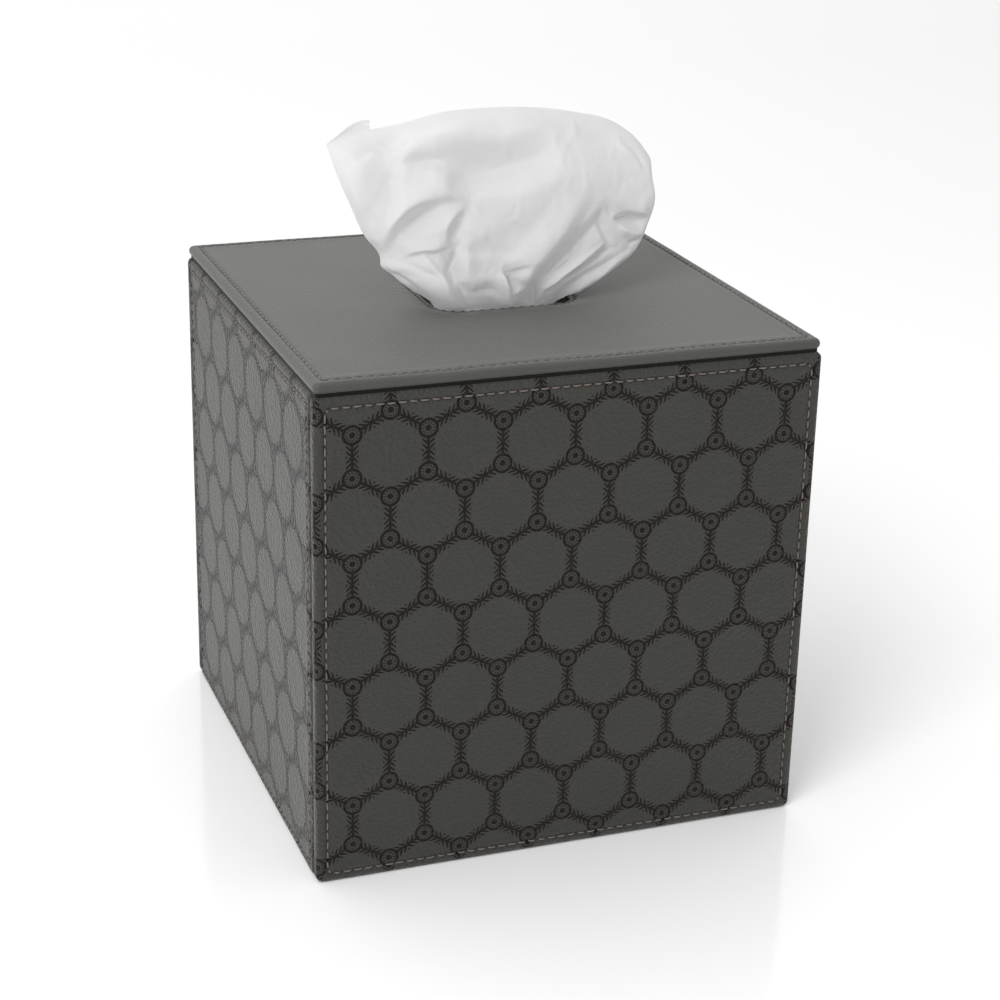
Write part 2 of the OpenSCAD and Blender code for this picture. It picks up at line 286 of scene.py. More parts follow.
def trellis(tree):
    """1 where the print's ink is: sprigs of leaves along a honeycomb, and a ringed dot at each corner."""
    x, y, _ = parts(place(tree, "sheet"))
    across, along = honeycomb(x, y)
    corner = PRINT_PITCH / (2 * math.sqrt(3)) - along
    reach = calc("SQRT", across * across + corner * corner)
    turn = calc("ARCTAN2", across, corner)

    def within(distance, limit):
        return ramp(distance, limit, limit - PRINT_SOFT)

    def beyond(distance, limit):
        return ramp(distance, limit, limit + PRINT_SOFT)

    stem = within(across, STEM_HALF_W + PRINT_SOFT)
    swept = along - across * LEAF_SLANT
    beat = calc("ABSOLUTE", calc("WRAP", swept, LEAF_PITCH / 2, -LEAF_PITCH / 2))
    leaf = within(beat + across * LEAF_TAPER, LEAF_HALF_T)
    leaf = leaf * within(across, LEAF_TIP) * beyond(across, STEM_HALF_W)
    sprig = calc("MAXIMUM", stem, leaf) * within(along, SPRIG_HALF_LENGTH)

    dot = within(reach, DOT_R)
    rays = ramp(calc("COSINE", turn * RAYS), 0.0, 0.4)
    rays = rays * beyond(reach, RAYS_INNER_R) * within(reach, RAYS_OUTER_R)
    ring = within(calc("ABSOLUTE", reach - RING_R), RING_HALF_W + PRINT_SOFT)
    return calc("MAXIMUM", calc("MAXIMUM", sprig, dot), calc("MAXIMUM", rays, ring))


def leather(name, colour, printed, grain, depth):
    """Leather with grain of the given size and depth, with the dark print or plain."""
    material, tree, shader = new_material(name)
    where = place(tree, "sheet") if printed else place(tree)
    cells = pebbles(where, grain)
    fine = noise(where, grain * 0.4, 3)
    cloud = noise(where, 18 * MM, 3)
    base = mixed(cloud * 0.7 + cells * 0.3, shade(colour, 0.82), shade(colour, 1.14))
    relief = 1 - cells * 0.8 + fine * 0.35
    rough = 0.5 + fine * 0.1
    gloss = LEATHER_GLOSS
    if printed:
        ink = trellis(tree)
        base = mixed(ink, base, INK)
        rough = rough + ink * 0.1
        relief = relief - ink * 0.5
        gloss = gloss - ink * INK_GLOSS_LOSS
    settle(shader, Base_Color=base, Roughness=rough, Normal=bump(relief, depth), Specular_IOR_Level=gloss)
    settle(shader, Sheen_Weight=0.17, Sheen_Roughness=0.5)
    return material


def thread(name, colour):
    """Twisted sewing thread, whose plies follow the stitch."""
    material, tree, shader = new_material(name)
    along, around, _ = parts(place(tree, "ply"))
    twist = calc("SINE", along * (2 * math.pi / PLY_PITCH) + around * (4 * math.pi))
    cloud = noise(place(tree), 3 * MM, 2)
    # Painted shade: the twist term paints the ply crests lighter and the grooves between the plies darker,
    # following the bump; the cloud term is the thread's own uneven tone.
    tint = mixed(cloud * 0.6 + twist * 0.2 + 0.2, shade(colour, 0.7), shade(colour, 1))
    plies = bump(twist * 0.5 + 0.5, 0.05 * MM)
    settle(shader, Base_Color=tint, Normal=plies, Roughness=0.6, Sheen_Weight=0.15)
    return material


def suede(name, colour, fibre=0.5):
    """Napped sheet: suede lining or felt."""
    material, tree, shader = new_material(name)
    where = place(tree)
    nap = noise(where, fibre * MM, 5, 0.65)
    brushed = noise(where, 14 * MM, 3, 0.6, 0.8)
    tint = mixed(nap * 0.6 + brushed * 0.4, shade(colour, 0.7), shade(colour, 1.35))
    settle(shader, Base_Color=tint, Normal=bump(nap, 0.12 * MM), Roughness=0.95)
    settle(shader, Sheen_Weight=0.1, Specular_IOR_Level=0.2)
    return material


def card(name, colour, speck, roughness=0.6):
    """Pressed board or folding card with fibres in it."""
    material, tree, shader = new_material(name)
    where = place(tree)
    fibres = noise(scaled(where, (1, 1, 0.35)), speck * MM, 4, 0.6)
    patches = noise(where, 25 * MM, 2)
    tint = mixed(fibres * 0.5 + patches * 0.5, shade(colour, 0.86), shade(colour, 1))
    settle(shader, Base_Color=tint, Normal=bump(fibres, 0.03 * MM), Roughness=roughness)
    settle(shader, Specular_IOR_Level=0.35)
    return material


def tissue_paper(name):
    """Soft white two-ply paper that lets some light through."""
    material, tree, shader = new_material(name)
    where = place(tree)
    fibres = noise(where, 0.9 * MM, 4, 0.6)
    cloud = noise(where, 6 * MM, 2)
    tint = mixed(fibres * 0.5 + cloud * 0.5, (0.77, 0.772, 0.77, 1), (0.83, 0.832, 0.83, 1))
    tilt = bump(fibres * 0.6 + cloud * 0.4, 0.05 * MM)
    settle(shader, Base_Color=tint, Normal=tilt, Roughness=0.85, Specular_IOR_Level=0.15)
    through = tree.nodes.new("ShaderNodeBsdfTranslucent")
    settle(through, Color=(0.9, 0.9, 0.9, 1), Normal=tilt)
    blend = tree.nodes.new("ShaderNodeMixShader")
    blend.inputs[0].default_value = PAPER_TRANSLUCENCY
    tree.links.new(shader.outputs[0], blend.inputs[1])
    tree.links.new(through.outputs[0], blend.inputs[2])
    tree.links.new(blend.outputs[0], tree.nodes["Material Output"].inputs["Surface"])
    return material


# Meshes
def add_piece(name, points, faces, material, attributes=None):
    """A smooth-shaded mesh object, with an optional vector attribute on its points."""
    mesh = bpy.data.meshes.new(name)
    mesh.from_pydata(np.asarray(points).tolist(), [], faces)
    mesh.validate()
    mesh.shade_smooth()
    for key, values in (attributes or {}).items():
        layer = mesh.attributes.new(key, "FLOAT_VECTOR", "POINT")
        layer.data.foreach_set("vector", np.asarray(values, dtype=np.float32).ravel())
    mesh.materials.append(material)
    piece = bpy.data.objects.new(name, mesh)
    bpy.context.collection.objects.link(piece)
    return piece


def outline(half_w, half_h, r, n_w, n_h, corner_steps=CORNER_STEPS):
    """Points of a rounded rectangle, anticlockwise from the left end of its lower side."""
    runs = []
    for side in range(4):
        turn = side * math.pi / 2
        half, out, steps = ((half_w, half_h, n_w), (half_h, half_w, n_h))[side % 2]
        along = np.linspace(r - half, half - r, steps + 1)
        straight = np.stack([along, np.full_like(along, -out)], 1)
        angles = np.linspace(-math.pi / 2, 0, corner_steps + 1)[1:-1]
        arc = np.stack([half - r + r * np.cos(angles), r - out + r * np.sin(angles)], 1)
        spin = np.array([[math.cos(turn), math.sin(turn)], [-math.sin(turn), math.cos(turn)]])
        runs.append(np.concatenate([straight, arc]) @ spin)
    return np.concatenate(runs)


def outline_normals(n_w, n_h):
    """Outward directions at the points of outline()."""
    runs = []
    for side in range(4):
        steps = (n_w, n_h)[side % 2]
        angles = np.concatenate([
            np.full(steps + 1, -math.pi / 2),
            np.linspace(-math.pi / 2, 0, CORNER_STEPS + 1)[1:-1],
        ]) + side * math.pi / 2
        runs.append(np.stack([np.cos(angles), np.sin(angles)], 1))
    return np.concatenate(runs)


def corner_starts(n_w, n_h):
    """Index of the first point of each side in outline()."""
    starts = [0]
    for side in range(3):
        starts.append(starts[-1] + (n_w, n_h)[side % 2] + CORNER_STEPS)
    return starts


def from_outline(points, half_w, half_h, r):
    """Signed distance of flat points from a rounded rectangle, negative inside."""
    q = np.abs(points) - np.array([half_w - r, half_h - r])
    outside = np.linalg.norm(np.maximum(q, 0), axis=1)
    return outside + np.minimum(q.max(axis=1), 0) - r


def loft_faces(rings, count, first=0):
    """Quads between rings of equal point counts."""
    i = np.arange(count)
    j = (i + 1) % count
    faces = []
    for k in range(rings - 1):
        a = first + k * count
        faces.append(np.stack([a + i, a + j, a + count + j, a + count + i], 1))
    return np.concatenate(faces)


def cap(ring_first, n_w, n_h, step, grid_first, flip):
    """Faces of a coarse grid inside a fine ring: one cell for each step points of the ring."""
    m_w, m_h = n_w // step, n_h // step

    def grid(i, j):
        return grid_first + j * (m_w + 1) + i

    faces = [
        [grid(i, j), grid(i + 1, j), grid(i + 1, j + 1), grid(i, j + 1)]
        for j in range(m_h) for i in range(m_w)
    ]
    total = 2 * (n_w + n_h) + 4 * CORNER_STEPS
    rims = [
        [grid(i, 0) for i in range(m_w + 1)],
        [grid(m_w, j) for j in range(m_h + 1)],
        [grid(m_w - i, m_h) for i in range(m_w + 1)],
        [grid(0, m_h - j) for j in range(m_h + 1)],
    ]
    for start, rim in zip(corner_starts(n_w, n_h), rims):
        for k in range(len(rim) - 1):
            fine = [ring_first + (start + k * step + s) % total for s in range(step + 1)]
            faces.append(fine + [rim[k + 1], rim[k]])
        last = start + (len(rim) - 1) * step
        faces.append([ring_first + (last + s) % total for s in range(CORNER_STEPS + 1)] + [rim[-1]])
    return [face[::-1] for face in faces] if flip else faces


def grid_points(half_w, half_h, m_w, m_h):
    """Points of a flat grid, row by row from its lower left corner."""
    x, y = np.meshgrid(np.linspace(-half_w, half_w, m_w + 1), np.linspace(-half_h, half_h, m_h + 1))
    return np.stack([x.ravel(), y.ravel()], 1)


def raised(flat, height):
    """Flat points given a height."""
    return np.column_stack([flat, np.full(len(flat), height)])


def bell(distance, width):
    """1 at distance 0, falling off smoothly on both sides."""
    return np.exp(-(distance / width) ** 2)


def grown(distance, width):
    """0 up to distance 0, then rising evenly to 1 at the width."""
    return np.clip(distance / width, 0, 1)


def waves(points, seed, size):
    """A smooth uneven field of about -1 to 1 over flat points."""
    draw = np.random.default_rng(seed)
    total = np.zeros(len(points))
    for _ in range(WAVE_COUNT):
        angle, phase = draw.uniform(0, 2 * math.pi, 2)
        pitch = size * draw.uniform(0.7, 1.6)
        heading = np.array([math.cos(angle), math.sin(angle)])
        total += np.sin(points @ heading * (2 * math.pi / pitch) + phase)
    return total / math.sqrt(WAVE_COUNT) / 1.3


# Sewing
def needle_holes(half_w, half_h, r, m_w, m_h):
    """Holes of a closed seam on a rounded rectangle, in order round it."""
    starts = corner_starts(m_w, m_h)
    points = outline(half_w, half_h, r, m_w, m_h)
    keep = [s + k for s, m in zip(starts, (m_w, m_h, m_w, m_h)) for k in range(m + 1)]
    return points[keep]


def seam_relief(points, holes, off_seam):
    """Height of leather beside a seam: its channel and the puckers at the needle holes."""
    height = -CHANNEL_DEPTH * bell(off_seam, CHANNEL_W)
    near = np.abs(off_seam) < 4 * NEEDLE_W
    if near.any():
        gaps = np.linalg.norm(points[near][:, None] - holes[None], axis=2).min(axis=1)
        height[near] -= NEEDLE_DEPTH * bell(gaps, NEEDLE_W)
    return height


def stitches(name, holes, lift, to_world, material, seed):
    """One capsule of thread from each needle hole to the next, dipping into the leather at both ends."""
    draw = np.random.default_rng(seed)
    rings, sides = STITCH_RINGS, STITCH_SIDES
    s = np.linspace(0, 1, rings)
    angle = np.linspace(0, 2 * math.pi, sides, endpoint=False)
    arch = np.sin(math.pi * s) ** 0.55
    swell = THREAD_R * (0.55 + 0.45 * np.sin(math.pi * s) ** 0.35)
    points, ply, faces = [], [], []
    for k, (start, end) in enumerate(zip(holes, np.roll(holes, -1, axis=0))):
        heading = end - start
        length = np.linalg.norm(heading)
        heading = heading / length
        side = np.array([-heading[1], heading[0]])
        gap = NEEDLE_GAP * draw.uniform(0.6, 1.4)
        slant = draw.normal(0, 0.05 * MM)
        run = gap + (length - 2 * gap) * s
        middle = start + run[:, None] * heading + (slant * (2 * s - 1))[:, None] * side
        height = lift + (THREAD_LIFT + THREAD_DIVE) * arch - THREAD_DIVE + draw.normal(0, 0.02 * MM)
        flat = middle[:, None] + (swell[:, None] * np.cos(angle))[..., None] * side
        up = height[:, None] + swell[:, None] * np.sin(angle) * 0.85
        base = k * (rings * sides + 2)
        points.append(np.concatenate([flat, up[..., None]], 2).reshape(-1, 3))
        points.append([[*middle[0], height[0]], [*middle[-1], height[-1]]])
        turn = np.tile(angle / (2 * math.pi), rings)
        ply.append(np.stack([np.repeat(run, sides), turn, 0 * turn], 1))
        ply.append([[0, 0, 0], [length, 0, 0]])
        faces += (loft_faces(rings, sides, base)[:, ::-1]).tolist()
        ends = base + rings * sides
        for j in range(sides):
            j2 = (j + 1) % sides
            faces.append([ends, base + j2, base + j][::-1])
            faces.append([ends + 1, ends - sides + j, ends - sides + j2][::-1])
    points, ply = to_world(np.concatenate(points)), np.concatenate(ply)
    return add_piece(name, points, faces, material, {"ply": ply})


# Walls
def wall_turn(angle, reach):
    """Takes (along, up, out) of a wall, drawn as the front one is, to the box's own axes."""
    spin = Matrix.Rotation(math.radians(angle), 3, "Z")

    def place_points(points):
        local = np.stack([points[:, 0], -reach - points[:, 2], points[:, 1]], 1)
        return local @ np.array(spin).T

    return place_points


def wall(side, angle, material, thread_material):
    """A wall's leather as one closed sheet round its board, and its stitches."""
    node = f"{side}_panel_leather"
    low, high = node_size(node)
    size = high - low
    width, height, thick = max(size[0], size[1]), size[2], min(size[0], size[1])
    reach = {"front": -low[1], "back": high[1], "left": -low[0], "right": high[0]}[side]
    seam_low, seam_high = node_size(f"{side}_panel_thread")
    seam_size = seam_high - seam_low
    seam_w = max(seam_size[0], seam_size[1]) / 2 - PACKED_THREAD_R
    seam_h = seam_size[2] / 2 - PACKED_THREAD_R
    seam_z = (seam_high[2] + seam_low[2]) / 2 - height / 2
    half_w, half_h = width / 2, height / 2
    m_w = round(2 * (seam_w - SEAM_CORNER_R) / STITCH_PITCH)
    m_h = round(2 * (seam_h - SEAM_CORNER_R) / STITCH_PITCH)
    n_w, n_h = m_w * STEPS_PER_STITCH, m_h * STEPS_PER_STITCH
    holes = needle_holes(seam_w, seam_h, SEAM_CORNER_R, m_w, m_h) + [0, seam_z]
    normals = outline_normals(n_w, n_h)

    # Rings from the outer face, round the edge, over the hem and into the pocket: (inset, out, run)
    side_inset = half_w - seam_w
    face = np.concatenate([[FACE_BAND], np.arange(FACE_BAND - 0.7 * MM, EDGE_R, -RING_STEP)])
    rings = [(inset, 0, EDGE_R - inset) for inset in face]
    rings += [(EDGE_R * (1 - math.sin(b)), EDGE_R * (math.cos(b) - 1), EDGE_R * b) for b in BEND]
    run = EDGE_R * math.pi / 2 + thick - 2 * EDGE_R
    rings += [(EDGE_R * (1 - math.cos(b)), EDGE_R * (1 - math.sin(b)) - thick, run + EDGE_R * b)
              for b in BEND]
    run += EDGE_R * math.pi / 2
    hem = [(inset, -thick) for inset in (3 * MM, 7 * MM, HEM_W - 0.25 * MM)]
    hem += [(HEM_W, 0.25 * MM - thick), (HEM_W, LEATHER_T - thick)]
    hem += [(0.95 * MM, LEATHER_T - thick), (LEATHER_T, LEATHER_T + 0.25 * MM - thick)]
    hem += [(LEATHER_T, -LEATHER_T - 0.25 * MM), (0.95 * MM, -LEATHER_T), (FACE_BAND, -LEATHER_T)]
    rings += [(inset, out, run + inset) for inset, out in hem]

    flat, sheet = [], []
    rim = outline(half_w - EDGE_R, half_h - EDGE_R, CORNER_R - EDGE_R, n_w, n_h)
    for inset, out, run in rings:
        r = max(CORNER_R - inset, SEAM_CORNER_R if inset > EDGE_R / 2 else 0.4 * MM)
        ring = outline(half_w - inset, half_h - inset, r, n_w, n_h)
        flat.append(raised(ring, out))
        sheet.append(rim + normals * run if run > 0 else ring)
    count = len(flat[0])
    points = np.concatenate(flat)
    sheet = np.concatenate(sheet)
    faces = loft_faces(len(rings), count).tolist()
    inner = FACE_BAND + 0.9 * MM
    grid = grid_points(half_w - inner, half_h - inner, m_w, m_h)
    for out, ring, flip in ((0, 0, True), (-LEATHER_T, len(rings) - 1, False)):
        first = len(points)
        faces += cap(ring * count, n_w, n_h, STEPS_PER_STITCH, first, flip)
        points = np.concatenate([points, raised(grid, out)])
        sheet = np.concatenate([sheet, grid])

    # Relief of the outer face
    outer = points[:, 2] > -0.9 * EDGE_R
    outer[len(rings) * count + len(grid):] = False
    outer[(len(rings) - 1) * count:len(rings) * count] = False
    spot = points[outer][:, :2]
    off_seam = from_outline(spot - [0, seam_z], seam_w, seam_h, SEAM_CORNER_R)
    off_edge = -from_outline(spot, half_w, half_h, CORNER_R)
    relief = seam_relief(spot, holes, off_seam)
    relief += EDGE_SWELL * bell(off_edge - side_inset * 0.55, 0.8 * MM)
    relief += EDGE_SWELL * 0.8 * bell(off_seam + 1.7 * MM, 1.3 * MM)
    relief += 0.06 * MM * waves(spot, 11 + int(angle), 26 * MM)
    gathers = bell(off_edge - 2.2 * MM, 1.4 * MM)
    pulled = 0.06 * MM if side in ("front", "back") else 0.13 * MM
    relief += pulled * gathers * waves(spot * [1, 0.35], 5 + int(angle), 1.9 * MM)
    fade = np.clip(1 + points[outer][:, 2] / EDGE_R, 0, 1)
    points[outer, 2] += relief * fade
    to_world = wall_turn(angle, reach)

    def world(local):
        return to_world(local + [0, half_h, 0])

    piece = add_piece(f"{side}_wall_leather", world(points), faces, material, {"sheet": raised(sheet, 0)})
    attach(piece, "box")
    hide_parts(node)

    sewing = stitches(f"{side}_wall_stitches", holes, 0, world, thread_material, 31 + int(angle))
    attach(sewing, "box")
    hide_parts(f"{side}_panel_thread")


# Lid
def mouth_place():
    """The lid's opening, its centre and half size, from the thread of its seam in the frame."""
    low, high = node_size("lid_opening_thread")
    return (low + high)[:2] / 2, (high - low)[:2] / 2 - PACKED_THREAD_R - MOUTH_SEAM


def lid(material, thread_material):
    """The lid's leather as one closed sheet round its board and through the opening, and its two seams."""
    low, high = node_size("lid_leather")
    half = high[0]
    top, bottom = high[2], low[2]
    mouth_centre, mouth_half = mouth_place()
    seam_half = node_size("lid_edge_thread")[1][0] - PACKED_THREAD_R
    m = round(2 * (seam_half - SEAM_CORNER_R) / STITCH_PITCH)
    n = m * STEPS_PER_STITCH
    holes = needle_holes(seam_half, seam_half, SEAM_CORNER_R, m, m)
    mouth_m = [round(2 * (h - MOUTH_R) / STITCH_PITCH) for h in mouth_half]
    mouth_seam_r = MOUTH_R + MOUTH_SEAM
    per_corner = round(mouth_seam_r * math.pi / 2 / STITCH_PITCH)
    mouth_holes = outline(*(mouth_half + MOUTH_SEAM), mouth_seam_r, *mouth_m, per_corner) + mouth_centre
    board_top = top - LEATHER_T
    board_low = bottom + LEATHER_T

    def near_edge(inset):
        r = max(LID_CORNER_R - inset, SEAM_CORNER_R)
        return outline(half - inset, half - inset, r, n, n)

    def near_mouth(margin):
        r = max(MOUTH_R + margin, 0.5 * MM)
        return outline(*(mouth_half + margin), r, n, n) + mouth_centre

    def round_edge(base, sign):
        return [(near_edge(LID_EDGE_R * (1 - math.sin(b))), base + sign * LID_EDGE_R * (1 - math.cos(b)))
                for b in BEND]

    # Rings from the lid's edge over the top to the opening, then back below and round the board's pocket
    soft_edge = MOUTH_SOFT_W + 2 * MM
    rings = round_edge(top, -1)[::-1]
    insets = np.arange(LID_EDGE_R + RING_STEP, FACE_BAND + 0.1 * MM, RING_STEP)
    rings += [(near_edge(inset), top) for inset in insets]
    outer_ring, inner_ring = near_edge(FACE_BAND), near_mouth(soft_edge)
    rings += [(outer_ring + (inner_ring - outer_ring) * s, top) for s in np.linspace(0, 1, 22)[1:-1]]
    margins = np.concatenate([np.arange(soft_edge, 2.6 * MM, -0.45 * MM), np.arange(2.6, 0.6, -0.2) * MM])
    rings += [(near_mouth(margin), top) for margin in margins]
    lip = top - MOUTH_DIP
    rings += [(near_mouth(MOUTH_LIP_R * (1 - math.sin(b))), lip - MOUTH_LIP_R * (1 - math.cos(b)))
              for b in BEND]
    rings += [(near_mouth(0), board_low + 0.3 * MM), (near_mouth(0.3 * MM), board_low)]
    rings += [(near_mouth(MOUTH_SOFT_W), board_low), (near_mouth(MOUTH_SOFT_W), board_top)]
    rings += [(near_edge(LEATHER_T), board_top), (near_edge(LEATHER_T), board_low)]
    rings += [(near_edge(HEM_W), board_low), (near_edge(HEM_W), bottom), (near_edge(6 * MM), bottom)]
    rings += round_edge(bottom, 1)
    count = len(rings[0][0])
    points = np.concatenate([raised(ring, z) for ring, z in rings])
    faces = loft_faces(len(rings), count)
    closing = np.arange(count)
    last = (len(rings) - 1) * count
    closed = np.stack([last + closing, last + (closing + 1) % count, (closing + 1) % count, closing], 1)
    faces = np.concatenate([faces, closed])

    # Relief of the top
    upper = points[:, 2] > lip - MOUTH_LIP_R * 0.9
    upper[points[:, 2] == board_top] = False
    spot = points[upper][:, :2]
    at_lip = points[upper][:, 2] < top - LID_EDGE_R * 0.02
    off_mouth = from_outline(spot - mouth_centre, *mouth_half, MOUTH_R)
    off_edge = -from_outline(spot, half, half, LID_CORNER_R)
    off_seam = from_outline(spot, seam_half, seam_half, SEAM_CORNER_R)
    relief = seam_relief(spot, holes, off_seam)
    relief += seam_relief(spot, mouth_holes, off_mouth - MOUTH_SEAM) * 0.9
    slope = grown(off_mouth, MOUTH_SOFT_W)
    past_lip = off_mouth > MOUTH_LIP_R * 1.001
    relief -= np.where(past_lip, MOUTH_DIP * (1 - slope) ** MOUTH_DIP_CURVE, 0)
    relief += EDGE_SWELL * bell(off_edge - 1.9 * MM, 0.9 * MM)
    relief += EDGE_SWELL * 0.8 * bell(off_seam + 1.9 * MM, 1.5 * MM)
    relief += 0.05 * MM * waves(spot, 3, 34 * MM) * grown(off_mouth, 4 * MM)
    relief += 0.03 * MM * waves(spot, 4, 2.2 * MM) * bell(off_edge - 2 * MM, 1.3 * MM)
    radial = np.arctan2(*(spot - mouth_centre).T)
    relief += 0.07 * MM * np.exp(-off_mouth / (3 * MM)) * np.sin(radial * 23 + 3 * np.sin(radial * 5))
    fade = np.where(off_edge < LID_EDGE_R, np.clip(1 - (top - points[upper][:, 2]) / LID_EDGE_R, 0, 1), 1)
    fade = np.where(at_lip & (off_mouth < MOUTH_LIP_R * 1.001), 0.0, fade)
    points[upper, 2] += relief * fade

    piece = add_piece("lid_leather_cover", points, faces.tolist(), material)
    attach(piece, "lid")
    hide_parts("lid_leather")

    def on_top(local):
        return local + [0, 0, top]

    edge = stitches("lid_edge_stitches", holes, 0, on_top, thread_material, 71)
    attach(edge, "lid")
    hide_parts("lid_edge_thread")
    sink = MOUTH_DIP * (1 - MOUTH_SEAM / MOUTH_SOFT_W) ** MOUTH_DIP_CURVE
    opening = stitches("lid_opening_stitches", mouth_holes, -sink, on_top, thread_material, 72)
    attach(opening, "lid")
    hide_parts("lid_opening_thread")


# Tissue: outlines of the puff as (pixel x, pixel y) in the photograph and the depth y in millimetres
RIM_PX = [(326, 144, 1), (365, 131, 1), (405, 122.5, 1), (445, 112, 1), (480, 108.5, 1), (520, 107, 1),
          (570, 111, 1), (614, 122, 0), (635, 137, -2.5), (650, 157, -6)]
RIGHT_SIDE_PX = [(551, 303, -8), (563, 294, -11), (590, 282, -12.5), (613, 266, -12.5), (632, 249, -12),
                 (645, 221, -11), (652, 197, -10.5), (650, 176, -9), (650, 157, -6)]
LEFT_EDGE_PX = [(433, 303, -6.5), (427, 299, -9), (403, 284, -12), (390, 273, -10), (381, 266, -9),
                (380, 257, -8), (364, 235, -6), (350, 204, -4), (338, 177, -2), (326, 144, 1)]
NECK_FRONT_PX = [(433, 303, -6.5), (447, 310, -12.7), (467, 311, -15), (500, 309, -15), (536, 306, -14.6),
                 (551, 303, -8)]
# Its hidden outlines, in millimetres from the middle of the base
BACK_EDGE = [(-14, -8, 139), (-22, -4, 144), (-30, 1, 153), (-34, 4, 166), (-37, 1, 186)]
NECK_BACK = [(-14, -8, 139), (-12, -1, 140), (-4, 5, 140), (6, 6, 140), (14, 2, 140), (17, -8, 139.5)]
FRONT_SWELL = 10
BACK_SWELL = 11
SWELL_SCALE = 2.4
SWELL_TOP_POWER = 0.5
SWELL_LOW_POWER = 1.2
SIDE_POWER = 0.6
RIGHT_FULLNESS = 0.7
TISSUE_COLUMNS = 260
TISSUE_ROWS = 190
TAIL_ROWS = 40
TAIL_PLEATS = 16
TAIL_PLEAT_DEPTH = 4.5
TAIL_TAPER = 0.3
TAIL_TWIST = 1.5
NECK_GAP = 0.4
NECK_FREE_ABOVE = 2.2
NECK_BLEND = 1.6
NECK_RELIEF = 0.3
NECK_RELIEF_GAIN = 40
FLAP = 0.13
FLAP_ROWS = 8
FLAP_CURL = (0.4, 2.6, 1.6)
FLAP_TURN = 2.4
BACK_PLEATS = 7
BACK_PLEAT_DEPTH = 2.2
FRONT_CRUMPLES = ((0.12, 9, 6), (0.05, 8, 2.2))
BACK_WAVES = ((1.1, 21, 17), (0.5, 22, 7))
STACK_LAYERS = 40
STACK_STATIONS = 12
FOLD_FOOT = 0.2

